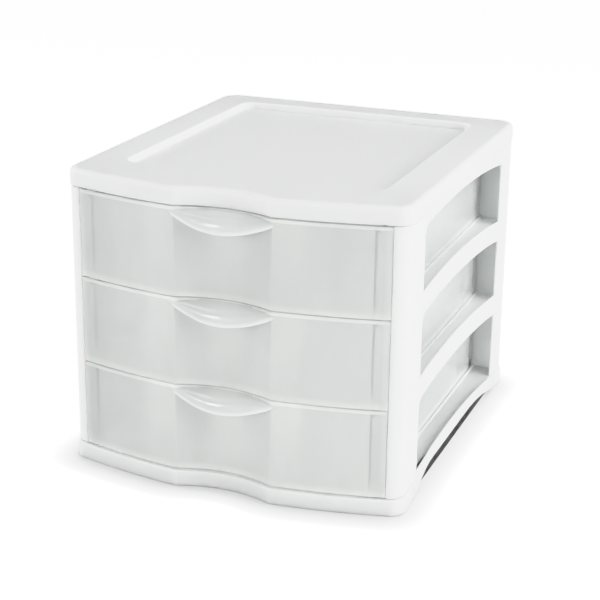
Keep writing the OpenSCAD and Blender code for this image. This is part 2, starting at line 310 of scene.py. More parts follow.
class Plan:
    """Places on the box's outline, worked out from its sizes."""

    def __init__(self, sizes):
        self.side_x = SIDE_HIGH.x
        self.back_y = SIDE_HIGH.y
        self.front_y = self.back_y - sizes.depth
        self.bow_radius = sizes.bow_radius
        self.corner_radius = sizes.corner_radius
        self.rear_radius = sizes.rear_radius
        across, deep = sizes.crease_half, sizes.scoop_depth
        self.scoop_radius = (across**2 + deep**2) / (2 * deep)
        self.scoop = Vector((0, self.front_y + deep - self.scoop_radius))
        reach = across + sizes.bow_shift
        bow_y = self.front_y + math.sqrt(self.bow_radius**2 - reach**2)
        self.bow = Vector((-sizes.bow_shift, bow_y))
        corner_x = self.side_x - self.corner_radius
        inner_radius = self.bow_radius - self.corner_radius
        run = math.sqrt(inner_radius**2 - (corner_x - self.bow.x) ** 2)
        self.corner = Vector((corner_x, self.bow.y - run))
        self.rear = Vector((self.side_x - self.rear_radius, self.back_y - self.rear_radius))

    def crease(self, inset):
        """Where the scoop and the bow meet, with the outline moved inwards by inset."""
        near, far = self.scoop_radius + inset, self.bow_radius - inset
        across = self.bow - self.scoop
        apart = across.length
        along = (near**2 - far**2 + apart**2) / (2 * apart)
        aside = math.sqrt(near**2 - along**2)
        way = across / apart
        return self.scoop + way * along + Vector((way.y, -way.x)) * aside

    def bow_point(self, x, inset):
        """The place on the bowed front at this distance from the middle."""
        radius = self.bow_radius - inset
        return Vector((x, self.bow.y - math.sqrt(radius**2 - (x - self.bow.x) ** 2)))

    def front_y_at(self, x, inset):
        """How far forward the front curve is at x."""
        if abs(x) < self.crease(inset).x:
            return self.scoop.y + math.sqrt((self.scoop_radius + inset) ** 2 - x * x)
        return self.bow_point(abs(x), inset).y

    def angle(self, centre, place):
        """The direction from the centre to the place."""
        return math.atan2(place.y - centre.y, place.x - centre.x)

    def scoop_arc(self, inset, steps=16):
        """The scoop from the middle to the right crease."""
        turn = self.angle(self.scoop, self.crease(inset))
        radius = self.scoop_radius + inset
        return arc(self.scoop.x, self.scoop.y, radius, math.pi / 2, turn, steps)

    def bow_arc(self, inset, start, end, steps=16):
        """The right side of the bowed front between two places."""
        radius = self.bow_radius - inset
        turns = self.angle(self.bow, start), self.angle(self.bow, end)
        return arc(self.bow.x, self.bow.y, radius, *turns, steps)

    def corner_arc(self, inset, steps=12):
        """The right front corner."""
        turn = self.angle(self.bow, self.corner)
        return arc(self.corner.x, self.corner.y, self.corner_radius - inset, turn, 0, steps)

    def rear_arc(self, inset, steps=12):
        """The right rear corner."""
        return arc(self.rear.x, self.rear.y, self.rear_radius - inset, 0, math.pi / 2, steps)

    def half(self, inset, side=()):
        """The right half from the front middle to the back, with extra points along the side."""
        bow = self.bow_arc(inset, self.crease(inset), self.corner)
        return [self.scoop_arc(inset), bow, self.corner_arc(inset), *side, self.rear_arc(inset)]

    def front(self, inset, half_width):
        """The front curve from left to right."""
        end = self.bow_point(half_width, inset)
        right = [self.scoop_arc(inset), self.bow_arc(inset, self.crease(inset), end)]
        return mirrored(right) + right


# ---------------------------------------------------------------- modelling moves


def trace(name, stretches, height):
    """Draws a closed outline from one vertex by spins and straight extrusions, and fills it."""
    bpy.ops.object.select_all(action="DESELECT")
    bpy.ops.mesh.primitive_plane_add(size=MM)
    piece = bpy.context.object
    piece.name = name
    bpy.ops.object.mode_set(mode="EDIT")
    bpy.ops.mesh.select_mode(type="VERT")
    bpy.ops.mesh.merge(type="CENTER")
    here = None
    for cx, cy, radius, start, end, steps in stretches:
        there = Vector((cx + radius * math.cos(start), cy + radius * math.sin(start), height))
        if here is None:
            bpy.ops.transform.translate(value=there)
        elif (there - here).length > TINY:
            bpy.ops.mesh.extrude_region_move(TRANSFORM_OT_translate={"value": there - here})
        here = there
        if steps:
            centre = (cx, cy, height)
            bpy.ops.mesh.spin(steps=steps, angle=start - end, center=centre, axis=(0, 0, 1))
            here = Vector((cx + radius * math.cos(end), cy + radius * math.sin(end), height))
    bpy.ops.mesh.select_all(action="SELECT")
    bpy.ops.mesh.remove_doubles(threshold=TINY)
    bpy.ops.mesh.edge_face_add()
    return piece


def raise_by(*heights):
    """Extrudes what is selected upwards, step by step."""
    for height in heights:
        bpy.ops.mesh.extrude_region_move(TRANSFORM_OT_translate={"value": (0, 0, height)})


def pick(piece, kind, test):
    """Selects the vertices, edges or faces whose corners all pass the test of their place."""
    bpy.ops.mesh.select_mode(type=kind)
    bpy.ops.mesh.select_all(action="DESELECT")
    mesh = bmesh.from_edit_mesh(piece.data)
    for item in {"VERT": mesh.verts, "EDGE": mesh.edges, "FACE": mesh.faces}[kind]:
        corners = [item] if kind == "VERT" else item.verts
        item.select_set(all(test(corner.co) for corner in corners))
    bmesh.update_edit_mesh(piece.data)


def at(value, place):
    """Whether a value is at this place."""
    return abs(value - place) < TINY


def round_over(radius, segments=3):
    """Rounds the selected edges."""
    bpy.ops.mesh.bevel(offset=radius, segments=segments, affect="EDGES", clamp_overlap=False)


def leave_edit(piece):
    """Points the faces outwards and goes back to object mode."""
    bpy.ops.mesh.select_all(action="SELECT")
    bpy.ops.mesh.normals_make_consistent(inside=False)
    if bmesh.from_edit_mesh(piece.data).calc_volume(signed=True) < 0:
        bpy.ops.mesh.flip_normals()
    bpy.ops.object.mode_set(mode="OBJECT")
    return piece


def block(name, low, high):
    """A box between two corners."""
    low, high = Vector(low), Vector(high)
    bpy.ops.object.select_all(action="DESELECT")
    bpy.ops.mesh.primitive_cube_add(size=1, location=(low + high) / 2, scale=high - low)
    piece = bpy.context.object
    piece.name = name
    bpy.ops.object.transform_apply(location=True, rotation=True, scale=True)
    return piece


def make_active(piece):
    """Selects this piece alone."""
    bpy.ops.object.select_all(action="DESELECT")
    piece.select_set(True)
    bpy.context.view_layer.objects.active = piece


def apply_modifier(piece, kind, **settings):
    """Adds a modifier with these settings and applies it."""
    make_active(piece)
    modifier = piece.modifiers.new(kind.title(), kind)
    for key, value in settings.items():
        setattr(modifier, key, value)
    bpy.ops.object.modifier_apply(modifier=modifier.name)


def combine(piece, tool, operation):
    """Joins the tool to the piece or cuts it away, and removes the tool."""
    apply_modifier(piece, "BOOLEAN", object=tool, operation=operation, solver="EXACT")
    bpy.data.objects.remove(tool)


def soften(piece, width, segments=3):
    """Rounds every sharp edge of the piece."""
    apply_modifier(
        piece,
        "BEVEL",
        width=width,
        segments=segments,
        limit_method="ANGLE",
        angle_limit=BEVEL_ANGLE,
        use_clamp_overlap=False,
        miter_outer="MITER_ARC",
    )


def finish_piece(piece, node, material):
    """Smooths the shading, gives the finish, and lets the piece stand for its node."""
    make_active(piece)
    bpy.ops.object.shade_smooth_by_angle(angle=SMOOTH_ANGLE)
    apply_modifier(piece, "WEIGHTED_NORMAL", keep_sharp=True, weight=100)
    piece.data.materials.clear()
    piece.data.materials.append(material)
    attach(piece, NODE_BODIES[node])
    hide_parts(node)


# ---------------------------------------------------------------- finishes


def shader_node(tree, kind, operation=None, **values):
    """Adds a shader node with its operation and the values of its inputs by name."""
    node = tree.nodes.new(kind)
    if operation:
        node.operation = operation
    for name, value in values.items():
        node.inputs[name.replace("_", " ")].default_value = value
    return node


def mould_grain_group():
    """Shared effect: the fine skin and slow bands of moulded plastic."""
    name = "Mould grain"
    if name in bpy.data.node_groups:
        return bpy.data.node_groups[name]
    group = bpy.data.node_groups.new(name, "ShaderNodeTree")
    for label, kind, default in (
        ("Colour", "NodeSocketColor", (0.8, 0.8, 0.8, 1)),
        ("Tone", "NodeSocketFloat", 0.02),
        ("Roughness", "NodeSocketFloat", 0.4),
        ("Roughness spread", "NodeSocketFloat", 0.05),
        ("Grain size", "NodeSocketFloat", 900.0),
        ("Grain depth", "NodeSocketFloat", 0.05),
    ):
        socket = group.interface.new_socket(name=label, in_out="INPUT", socket_type=kind)
        socket.default_value = default
    for label, kind in (
        ("Colour", "NodeSocketColor"),
        ("Roughness", "NodeSocketFloat"),
        ("Normal", "NodeSocketVector"),
    ):
        group.interface.new_socket(name=label, in_out="OUTPUT", socket_type=kind)
    link = group.links.new
    inside = shader_node(group, "NodeGroupInput").outputs
    outside = shader_node(group, "NodeGroupOutput").inputs
    place = shader_node(group, "ShaderNodeTexCoord").outputs["Object"]
    # slow bands of tone and gloss from the flow of the melt
    drawn = shader_node(group, "ShaderNodeVectorMath", "MULTIPLY")
    drawn.inputs[1].default_value = FLOW_DRAWN
    link(place, drawn.inputs[0])
    flow = shader_node(group, "ShaderNodeTexNoise", Scale=FLOW_SCALE, Detail=NOISE_DETAIL)
    link(drawn.outputs["Vector"], flow.inputs["Vector"])
    centred = shader_node(group, "ShaderNodeMath", "SUBTRACT")
    centred.inputs[1].default_value = 0.5
    link(flow.outputs["Fac"], centred.inputs[0])
    shade = shader_node(group, "ShaderNodeMath", "MULTIPLY_ADD")
    shade.inputs[2].default_value = 1.0
    link(centred.outputs[0], shade.inputs[0])
    link(inside["Tone"], shade.inputs[1])
    tinted = shader_node(group, "ShaderNodeVectorMath", "SCALE")
    link(inside["Colour"], tinted.inputs[0])
    link(shade.outputs[0], tinted.inputs["Scale"])
    link(tinted.outputs["Vector"], outside["Colour"])
    gloss = shader_node(group, "ShaderNodeMath", "MULTIPLY_ADD")
    link(centred.outputs[0], gloss.inputs[0])
    link(inside["Roughness spread"], gloss.inputs[1])
    link(inside["Roughness"], gloss.inputs[2])
    link(gloss.outputs[0], outside["Roughness"])
    # fine skin left by the steel mould
    skin = shader_node(group, "ShaderNodeTexNoise", Detail=NOISE_DETAIL)
    link(place, skin.inputs["Vector"])
    link(inside["Grain size"], skin.inputs["Scale"])
    bump = shader_node(group, "ShaderNodeBump", Distance=SKIN_HEIGHT)
    link(skin.outputs["Fac"], bump.inputs["Height"])
    link(inside["Grain depth"], bump.inputs["Strength"])
    link(bump.outputs["Normal"], outside["Normal"])
    return group


def painted_glow_shader_group():
    """Shared effect: a painted glow, the emission colour scaled by each vertex's glow amount, in
    place of light caught in the thick edges of clear plastic and their highlights.
    """
    name = "Edge light"
    if name in bpy.data.node_groups:
        return bpy.data.node_groups[name]
    group = bpy.data.node_groups.new(name, "ShaderNodeTree")
    for in_out in ("INPUT", "OUTPUT"):
        group.interface.new_socket(name="Light", in_out=in_out, socket_type="NodeSocketColor")
    inside = shader_node(group, "NodeGroupInput")
    outside = shader_node(group, "NodeGroupOutput")
    solid = shader_node(group, "ShaderNodeAttribute")
    solid.attribute_name = PAINTED_GLOW_ATTRIBUTE
    gathered = shader_node(group, "ShaderNodeVectorMath", "SCALE")
    group.links.new(inside.outputs["Light"], gathered.inputs[0])
    group.links.new(solid.outputs["Fac"], gathered.inputs["Scale"])
    group.links.new(gathered.outputs["Vector"], outside.inputs["Light"])
    return group


def plastic_material(name, tint, grain, **finish):
    """A moulded plastic whose colour, gloss and skin come from the shared grain."""
    material = bpy.data.materials.new(name)
    material.use_nodes = True
    tree = material.node_tree
    surface = tree.nodes["Principled BSDF"]
    surface.inputs["IOR"].default_value = PLASTIC_IOR
    for label, value in finish.items():
        surface.inputs[label.replace("_", " ")].default_value = value
    skin = shader_node(tree, "ShaderNodeGroup")
    skin.node_tree = mould_grain_group()
    skin.inputs["Colour"].default_value = (*tint, 1)
    for label, value in grain.items():
        skin.inputs[label].default_value = value
    tree.links.new(skin.outputs["Colour"], surface.inputs["Base Color"])
    tree.links.new(skin.outputs["Roughness"], surface.inputs["Roughness"])
    tree.links.new(skin.outputs["Normal"], surface.inputs["Normal"])
    return material, surface


def white_plastic(settings):
    """The opaque white of the frame, into which light reaches a little."""
    if "White plastic" in bpy.data.materials:
        return bpy.data.materials["White plastic"]
    material, _ = plastic_material(
        "White plastic",
        settings.plastic,
        WHITE_SKIN,
        Subsurface_Weight=1.0,
        Subsurface_Radius=(1.0, 1.0, 1.0),
        Subsurface_Scale=settings.glow_depth,
    )
    return material


def semi_clear_plastic(settings):
    """The frosted plastic of the drawers, with a painted glow in its bead, lip rim, ends and lower
    edges.
    """
    material, surface = plastic_material(
        "Semi-clear plastic",
        settings.plastic,
        {**CLEAR_SKIN, "Roughness": settings.frosting},
        Transmission_Weight=settings.clearness,
        # the emission shows the painted glow of the edges
        Emission_Strength=1.0,
        Coat_Weight=CLEAR_COAT,
        Coat_Roughness=CLEAR_COAT_ROUGHNESS,
    )
    edges = shader_node(material.node_tree, "ShaderNodeGroup")
    edges.node_tree = painted_glow_shader_group()
    edges.inputs["Light"].default_value = (*settings.painted_edge_glow, 1)
    material.node_tree.links.new(edges.outputs["Light"], surface.inputs["Emission Color"])
    return material


# ---------------------------------------------------------------- the pieces


class FrameMaker:
    """What the operators for the white frame share."""

    bl_options = {"REGISTER", "UNDO"}

    def execute(self, context):
        self.sizes = context.scene.box_frame
        self.plan = Plan(context.scene.box_plan)
        self.floor = BASE_HIGH.z
        self.ceiling = TOP_LOW.z
        self.pitch = (self.ceiling - self.floor) / len(DRAWERS)
        self.window_y0 = self.plan.front_y + self.sizes.window_front
        self.window_y1 = self.plan.back_y - self.sizes.window_back
        self.foot_y0 = self.window_y0 - self.sizes.rail_end
        self.foot_y1 = self.window_y1 + self.sizes.arch_back
        self.inner_x = self.plan.side_x - self.sizes.wall
        self.make()
        return {"FINISHED"}

    def finish(self, piece, node):
        """Gives the piece the frame's white plastic and its node."""
        finish_piece(piece, node, white_plastic(self.sizes))


def tray_space(name, plan, sizes, grow, low, high):
    """A round-cornered block with the sunk tray's outline, grown outwards."""
    half = sizes.tray_half + grow
    y0 = plan.front_y + sizes.tray_front - grow
    y1 = plan.back_y - sizes.tray_back + grow
    radius = sizes.tray_radius + grow
    right = [
        arc(half - radius, y0 + radius, radius, -math.pi / 2, 0, 8),
        arc(half - radius, y1 - radius, radius, 0, math.pi / 2, 8),
    ]
    piece = trace(name, right + mirrored(right), low)
    raise_by(high - low)
    return leave_edit(piece)


class BOX_OT_top_panel(FrameMaker, bpy.types.Operator):
    """Models the top panel: skirt, rounded edge and sunk tray"""

    bl_idname = "drawer_box.top_panel"
    bl_label = "Top panel"

    def make(self):
        s, plan = self.sizes, self.plan
        low, high = TOP_LOW.z + s.seam_gap, TOP_HIGH.z
        half = plan.half(-s.skirt_proud)
        piece = trace("top_panel_shell", half + mirrored(half), low)
        raise_by(high - low)
        pick(piece, "EDGE", lambda p: at(p.z, high))
        round_over(s.top_edge, 7)
        # hollow underside
        pick(piece, "FACE", lambda p: at(p.z, low))
        bpy.ops.mesh.inset(thickness=s.skirt_wall)
        raise_by(high - s.wall - low)
        leave_edit(piece)
        # sunk tray
        floor = high - s.tray_depth
        under = tray_space("tray_body", plan, s, s.wall, floor - s.wall, high - s.wall / 2)
        combine(piece, under, "UNION")
        space = tray_space("tray_space", plan, s, 0, floor, high + s.wall)
        combine(piece, space, "DIFFERENCE")
        make_active(piece)
        bpy.ops.object.mode_set(mode="EDIT")
        inside = s.tray_half + TINY
        tray_y0 = plan.front_y + s.tray_front - TINY
        tray_y1 = plan.back_y - s.tray_back + TINY

        def on_tray(p, height):
            return at(p.z, height) and abs(p.x) < inside and tray_y0 < p.y < tray_y1

        pick(piece, "EDGE", lambda p: on_tray(p, floor))
        round_over(s.tray_fillet)
        pick(piece, "EDGE", lambda p: on_tray(p, high))
        round_over(s.tray_rim)
        # soft lower edges of the skirt
        pick(piece, "EDGE", lambda p: at(p.z, low))
        round_over(s.seam_edge, 2)
        leave_edit(piece)
        self.finish(piece, "top_panel")


class BOX_OT_base_panel(FrameMaker, bpy.types.Operator):
    """Models the base panel: rail and feet that wrap the corners, and the floor"""

    bl_idname = "drawer_box.base_panel"
    bl_label = "Base panel"

    def make(self):
        s, plan = self.sizes, self.plan
        top = BASE_HIGH.z - s.seam_gap
        side = [point(plan.side_x, self.foot_y0), point(plan.side_x, self.foot_y1)]
        half = plan.half(-s.rail_proud, side)
        piece = trace("base_panel_shell", half + mirrored(half), 0)
        raise_by(top)
        pick(piece, "EDGE", lambda p: at(p.z, top))
        round_over(s.soft_edge)
        pick(piece, "EDGE", lambda p: at(p.z, 0))
        round_over(s.foot_edge)
        pick(piece, "FACE", lambda p: at(p.z, 0))
        bpy.ops.mesh.inset(thickness=s.rail_wall - s.foot_edge)
        raise_by(top - s.wall)
        leave_edit(piece)
        # room for the side frames between the feet
        far = plan.side_x + s.rail_wall
        for sign in (1, -1):
            for near, height in (
                (plan.side_x - s.rail_wall, top - s.wall),
                (self.inner_x, 2 * top),
            ):
                x0, x1 = sorted((sign * near, sign * far))
                room = block("room_for_side", (x0, self.foot_y0, -top), (x1, self.foot_y1, height))
                combine(piece, room, "DIFFERENCE")
        self.finish(piece, "base_panel")


class BOX_OT_side_frames(FrameMaker, bpy.types.Operator):
    """Models the right side frame with its posts, windows and ledges, and its mirror image"""

    bl_idname = "drawer_box.side_frames"
    bl_label = "Side frames"

    def across(self, name, stretches):
        """A cutter drawn in Y and Z that passes through the right side's wall.

        It reaches past the wall by the wall's own thickness on both sides.
        """
        wall = self.sizes.wall
        piece = trace(name, stretches, self.inner_x - wall)
        raise_by(3 * wall)
        leave_edit(piece)
        piece.rotation_euler = Euler((math.pi / 2, 0, math.pi / 2))
        make_active(piece)
        bpy.ops.object.transform_apply(location=True, rotation=True, scale=True)
        return piece

    def window(self, top, sill):
        """Cutter for one window: arched sill, arched top, rounded upper front corner."""
        s = self.sizes
        y0, y1 = self.window_y0, self.window_y1
        arch_y = (y0 + y1) / 2 - s.arch_forward
        big, small = s.window_arch, s.window_corner

        def turn(y):
            return math.acos((y - arch_y) / big)

        corner = Vector((y0 + small, 0))
        corner.y = top - big + math.sqrt((big - small) ** 2 - (corner.x - arch_y) ** 2)
        meet = math.acos((corner.x - arch_y) / (big - small))
        return self.across(
            "window",
            [
                arc(arch_y, sill - big, big, turn(y0), turn(y1), 24),
                arc(arch_y, top - big, big, turn(y1), meet, 24),
                arc(corner.x, corner.y, small, meet, math.pi, 8),
            ],
        )

    def under_arch(self):
        """Cutter for the arch under the side, steeper at the front foot."""
        s = self.sizes
        rise = s.base_arch + MM  # the ends pass below the table
        steep_y = self.window_y0 + s.arch_front
        shallow_y = self.foot_y1 - s.arch_rear
        steep = (s.arch_front**2 + rise**2) / (2 * rise)
        shallow = (s.arch_rear**2 + rise**2) / (2 * rise)
        first, last = math.acos(-s.arch_front / steep), math.acos(s.arch_rear / shallow)
        return self.across(
            "under_arch",
            [
                arc(steep_y, s.base_arch - steep, steep, first, math.pi / 2, 12),
                arc(shallow_y, s.base_arch - shallow, shallow, math.pi / 2, last, 16),
            ],
        )

    def make(self):
        s, plan = self.sizes, self.plan
        flange_y = plan.back_y - s.flange_depth
        rear_x = plan.side_x - s.flange_width
        edge = plan.bow_point(s.opening_half, 0)
        section = [
            point(s.opening_half, self.window_y0),
            plan.bow_arc(0, edge, plan.corner, 2),
            plan.corner_arc(0),
            plan.rear_arc(0),
            point(rear_x, plan.back_y),
            point(rear_x, flange_y),
            point(self.inner_x, flange_y),
            point(self.inner_x, self.window_y0),
        ]
        piece = trace("side_frame_right_shell", section, 0)
        raise_by(self.ceiling)
        leave_edit(piece)
        # only the thin wall between the feet reaches the table
        low, far = -self.floor, 2 * plan.side_x
        for corner, other in (
            ((0, -far, low), (far, self.foot_y0, self.floor)),
            ((0, self.foot_y1, low), (far, far, self.floor)),
            ((0, -far, low), (self.inner_x, far, self.floor)),
        ):
            combine(piece, block("under_rail", corner, other), "DIFFERENCE")
        step = self.pitch - s.window_step
        for i in range(len(DRAWERS)):
            top = TOP_HIGH.z - s.window_drop - i * step
            last = i == len(DRAWERS) - 1
            sill = s.base_arch + s.sill_band if last else top - step + s.window_band
            combine(piece, self.window(top, sill), "DIFFERENCE")
        combine(piece, self.under_arch(), "DIFFERENCE")
        self.add_ledges(piece, flange_y)
        soften(piece, s.soft_edge)
        make_active(piece)
        bpy.ops.object.duplicate()
        other = bpy.context.object
        other.name = "side_frame_left_shell"
        bpy.ops.object.mode_set(mode="EDIT")
        bpy.ops.mesh.select_all(action="SELECT")
        bpy.ops.transform.resize(value=(-1, 1, 1), center_override=(0, 0, 0))
        leave_edit(other)
        self.finish(piece, "side_frame_right")
        self.finish(other, "side_frame_left")

    def add_ledges(self, piece, flange_y):
        """Three ledges that carry the drawers, each with a rib beside the drawer box."""
        s, plan = self.sizes, self.plan
        bite = s.wall / 4  # how far the ledges reach into the wall and the rear post
        for i in range(len(DRAWERS)):
            line = self.floor + i * self.pitch
            top = line + s.ledge_rise
            low = line if i == 0 else top - s.wall
            ledge = block(
                "ledge",
                (plan.side_x - s.ledge_width, plan.front_y + s.ledge_front, low),
                (self.inner_x + bite, flange_y + bite, top),
            )
            combine(piece, ledge, "UNION")
            rib = block(
                "guide_rib",
                (s.guide_place, self.window_y0, (low + top) / 2),
                (s.guide_place + s.guide_wall, flange_y + bite, top + s.guide_rise),
            )
            combine(piece, rib, "UNION")


class BOX_OT_back_panel(FrameMaker, bpy.types.Operator):
    """Models the back panel between the rear posts"""

    bl_idname = "drawer_box.back_panel"
    bl_label = "Back panel"

    def make(self):
        piece = block("back_panel_sheet", BACK_LOW, BACK_HIGH)
        soften(piece, self.sizes.seam_edge)
        self.finish(piece, "back_panel")


class BOX_OT_drawers(bpy.types.Operator):
    """Models one semi-clear drawer and copies it to the three bays"""

    bl_idname = "drawer_box.drawers"
    bl_label = "Drawers"
    bl_options = {"REGISTER", "UNDO"}

    def execute(self, context):
        self.sizes = context.scene.box_drawer
        self.plan = Plan(context.scene.box_plan)
        material = semi_clear_plastic(self.sizes)
        first, *others = DRAWERS
        pieces = {first: self.make(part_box(first))}
        for node in others:
            make_active(pieces[first])
            bpy.ops.object.duplicate()
            pieces[node] = bpy.context.object
            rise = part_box(node)[0].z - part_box(first)[0].z
            bpy.ops.transform.translate(value=(0, 0, rise))
            bpy.ops.object.transform_apply(location=True, rotation=True, scale=True)
        for node, piece in pieces.items():
            piece.name = node + "_moulding"
            finish_piece(piece, node, material)
        return {"FINISHED"}

    def make(self, place):
        """One drawer in one moulding, at the place of its node."""
        self.low, self.high = place[0].z, place[1].z
        self.half = place[1].x
        self.rear = place[1].y - self.sizes.rim
        piece = self.front_plate()
        combine(piece, self.tub(), "UNION")
        combine(piece, self.lip(), "UNION")
        self.mark_painted_glow(piece)
        return piece

    def mark_painted_glow(self, piece):
        """Notes how strongly each vertex glows: a painted glow in the bead, lip rim, ends and lower
        edges.
        """
        s, plan = self.sizes, self.plan
        mark = piece.data.attributes.new(PAINTED_GLOW_ATTRIBUTE, "FLOAT", "POINT")
        for vertex in piece.data.vertices:
            place = vertex.co
            ahead = plan.front_y_at(place.x, s.setback) - place.y
            in_front = ahead > -s.front_wall - TINY
            if ahead > s.setback + TINY:
                in_rim = place.z < self.lip_hem(place.x) + LIP_RIM * s.lip_wall
                light = LIP_RIM_PAINTED_GLOW if in_rim else 0.0
            elif in_front and place.z > self.high - TINY:
                light = BEAD_TOP_PAINTED_GLOW
            elif in_front and place.z > self.high - s.bead - TINY:
                light = BEAD_PAINTED_GLOW
            elif abs(place.x) > self.half - s.soft_edge - TINY:
                light = END_PAINTED_GLOW
            elif in_front and place.z < self.low + s.soft_edge + TINY:
                light = FRONT_FOOT_PAINTED_GLOW
            elif place.z < self.low + s.floor_rise + s.soft_edge + TINY:
                light = BOX_FOOT_PAINTED_GLOW
            else:
                light = 0.0
            mark.data[vertex.index].value = light

    def lip_fade(self, x):
        """How full the lip is at x: 1 in its middle and 0 at its ends."""
        return 1 - (x / self.lip_half) ** 2

    def lip_hem(self, x):
        """Height of the lip's lower edge at x."""
        s = self.sizes
        return self.high - s.bead - (s.lip_drop - s.bead) * self.lip_fade(x)

    def front_plate(self):
        """Curved front with a bead along its top and a return at each end."""
        s, plan = self.sizes, self.plan
        inner = s.setback + s.front_wall
        back = plan.bow_point(self.half, 0).y + s.return_depth
        slim = self.half - s.front_wall
        outline = [
            *plan.front(s.setback, self.half),
            point(self.half, back),
            point(slim, back),
            *backwards(plan.front(inner, slim)),
            point(-slim, back),
            point(-self.half, back),
        ]
        piece = trace("drawer_front", outline, self.low)
        band = self.high - s.bead
        # the loop at the fade height lets the painted glow of the lower edge fade upwards
        raise_by(s.painted_glow_fade, band - self.low - s.painted_glow_fade, s.bead)
        leave_edit(piece)
        bpy.ops.object.mode_set(mode="EDIT")

        def on_face(p):
            return abs(p.y - plan.front_y_at(p.x, s.setback)) < 2 * TINY and p.z > band - TINY

        pick(piece, "FACE", on_face)
        bpy.ops.mesh.extrude_region_move(TRANSFORM_OT_translate={"value": (0, -s.setback, 0)})
        # the flat faces beside the bead become one, so that its rounding has room
        pick(piece, "FACE", lambda p: at(p.z, self.high))
        bpy.ops.mesh.dissolve_faces()
        for end in (self.half, -self.half):
            pick(piece, "FACE", lambda p: at(p.x, end) and p.z > band - TINY)
            bpy.ops.mesh.dissolve_faces(use_verts=True)
        pick(piece, "EDGE", lambda p: at(p.z, self.high) and on_face(p + Vector((0, s.setback, 0))))
        round_over(s.bead_round)
        leave_edit(piece)
        soften(piece, s.soft_edge, 2)
        return piece

    def tub(self):
        """Floor, walls and rim of the box behind the front."""
        s, plan = self.sizes, self.plan
        # the box's own front wall is hidden inside the drawer front
        hidden = s.setback + s.front_wall - s.box_wall - s.setback / 3
        corner = s.box_corner
        right = [arc(s.box_half - corner, self.rear - corner, corner, 0, math.pi / 2, 6)]
        outline = plan.front(hidden, s.box_half) + right + mirrored(right)
        low = self.low + s.floor_rise
        top = self.high - s.wall_drop
        piece = trace("drawer_tub", outline, low)
        # the loop at the fade height lets the painted glow of the box's lower edge fade upwards
        raise_by(s.painted_glow_fade, top - s.box_wall - low - s.painted_glow_fade, s.box_wall)
        bpy.ops.mesh.inset(thickness=s.box_wall)
        raise_by(low + s.box_wall - top)
        leave_edit(piece)
        bpy.ops.object.mode_set(mode="EDIT")

        def on_rim(p):
            outside = at(abs(p.x), s.box_half) or p.y > self.rear - corner - TINY
            between = abs(p.x) < s.box_half - s.box_wall + TINY
            inside = between and p.y < self.rear - s.box_wall + TINY
            return p.z > top - s.box_wall - TINY and outside and not inside

        def level(p):
            return at(p.z, top)

        pick(piece, "FACE", on_rim)
        # the top ring's faces lie level and stay
        mesh = bmesh.from_edit_mesh(piece.data)
        for face in mesh.faces:
            if face.select and all(level(v.co) for v in face.verts):
                face.select_set(False)
        bmesh.update_edit_mesh(piece.data)
        bpy.ops.mesh.inset(thickness=0, depth=s.rim, use_even_offset=True)
        leave_edit(piece)
        soften(piece, s.soft_edge, 2)
        return piece

    def lip_section(self, x):
        """Y and Z of the lip's closed section at x, from the top round the rim and back under."""
        s, plan = self.sizes, self.plan
        fade = self.lip_fade(x)
        face = plan.bow_point(abs(x), s.setback).y
        wall = plan.front_y_at(x, s.setback) + s.front_wall / 2
        front = face - (s.lip_bulge + self.face_middle - plan.front_y) * fade * fade
        hem = self.lip_hem(x)
        slope = math.tan(s.lip_slope)
        thick = s.lip_wall

        def top(y):
            return min(self.high - (self.hinge - y) * slope, self.high - s.setback / 2)

        def stretch(start, end, steps):
            return [start + (end - start) * i / steps for i in range(steps + 1)]

        def quarter(centre, radius, start, end, steps):
            """Points of a round stretch, with angles counted upwards from the front."""
            y, z = centre
            turns = stretch(start, end, steps)
            return [(y - radius * math.cos(turn), z + radius * math.sin(turn)) for turn in turns]

        # where the lip is shallow, its rounding takes no more than this part of its depth
        most_round = 0.6
        outer = min(s.lip_round, most_round * (wall - front))
        inner = max(outer - thick, TINY)
        inside = min(front + thick, wall - 5 * TINY)
        upright = math.pi / 2 - s.lip_slope
        under = thick / math.cos(s.lip_slope)
        rim = (front + outer, top(front + outer) - outer / math.cos(s.lip_slope))
        hollow = (inside + inner, top(inside + inner) - under - inner / math.cos(s.lip_slope))
        half = (inside - front) / 2
        tip = (front + half, min(hem + half, hollow[1] - TINY))
        points = [(y, top(y)) for y in stretch(wall, rim[0] - outer * math.cos(upright), 4)[:-1]]
        points += quarter(rim, outer, upright, 0, 6)
        points += quarter(tip, half, 0, -math.pi, 6)
        points += quarter(hollow, inner, 0, upright, 3)
        return points + [(y, top(y) - under) for y in stretch(points[-1][0], wall, 4)[1:]]

    def lip(self):
        """Curved finger lip: one closed section lofted from crease to crease."""
        s, plan = self.sizes, self.plan
        self.hinge = plan.front_y + bpy.context.scene.box_plan.scoop_depth - MM
        self.lip_half = plan.crease(0).x + s.lip_run
        self.face_middle = plan.bow_point(0, s.setback).y
        columns = 64  # sections along the lip
        around = len(self.lip_section(0))
        bpy.ops.object.select_all(action="DESELECT")
        bpy.ops.mesh.primitive_cylinder_add(
            vertices=around,
            radius=s.lip_bulge,
            depth=2 * self.lip_half,
            rotation=(0, math.pi / 2, 0),
        )
        piece = bpy.context.object
        piece.name = "finger_lip"
        bpy.ops.object.transform_apply(location=True, rotation=True, scale=True)
        bpy.ops.object.mode_set(mode="EDIT")
        bpy.ops.mesh.select_mode(type="EDGE")
        bpy.ops.mesh.select_all(action="DESELECT")
        mesh = bmesh.from_edit_mesh(piece.data)
        for edge in mesh.edges:
            edge.select_set(edge.calc_length() > self.lip_half)
        bmesh.update_edit_mesh(piece.data)
        bpy.ops.mesh.subdivide(number_cuts=columns - 1)
        mesh = bmesh.from_edit_mesh(piece.data)
        for vertex in mesh.verts:
            turn = math.atan2(vertex.co.z, -vertex.co.y) % (2 * math.pi)
            place = self.lip_section(vertex.co.x)[round(turn / (2 * math.pi) * around) % around]
            vertex.co.y, vertex.co.z = place
        bmesh.update_edit_mesh(piece.data)
        return leave_edit(piece)


